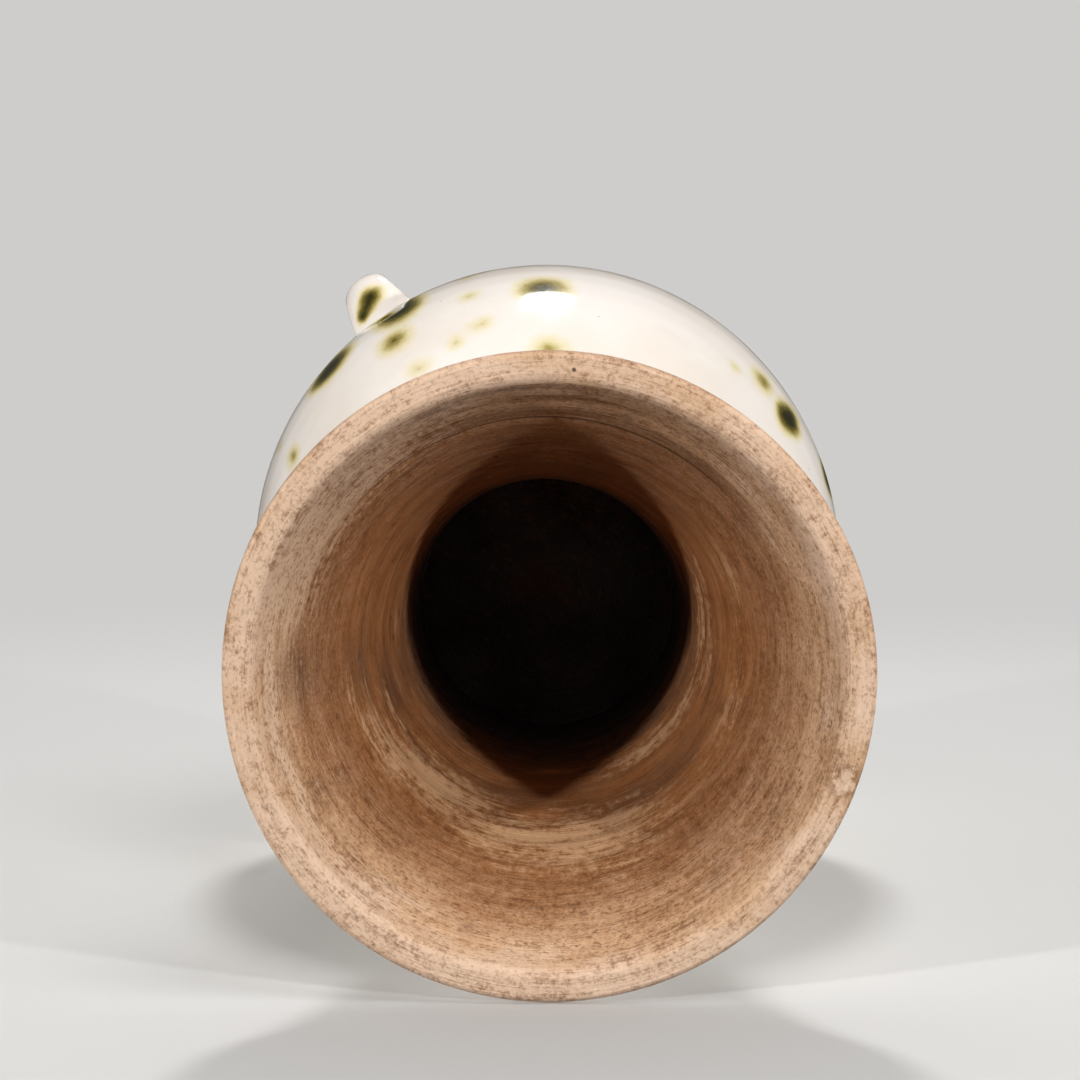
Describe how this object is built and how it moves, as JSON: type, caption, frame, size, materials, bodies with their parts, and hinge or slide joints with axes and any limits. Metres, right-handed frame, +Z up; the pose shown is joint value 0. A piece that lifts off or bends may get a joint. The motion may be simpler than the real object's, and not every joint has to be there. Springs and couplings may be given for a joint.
{
  "type": "pedestal jar",
  "caption": "Hand-thrown jar on a tall hollow flared foot: round belly in white glaze with green splashes, short neck with a rolled lip, loop ears on the shoulder.",
  "frame": {"origin": "centre of the foot's resting ring, on the surface that the jar stands on", "axes": "+Z up along the jar's axis, +X through the right ear, -Y to the front"},
  "size_m": [0.161, 0.14, 0.2794],
  "materials": {
    "white_glaze": "warm white gloss glaze with soft-edged olive-green splashes",
    "bare_clay": "bare buff-brown stoneware with turning lines, glazed on the outside"
  },
  "bodies": {
    "root": {"pedestal_foot": "bare_clay", "lower_body": "white_glaze", "upper_body": "white_glaze", "neck": "white_glaze", "left_ear": "white_glaze", "right_ear": "white_glaze"}
  },
  "joints": []
}
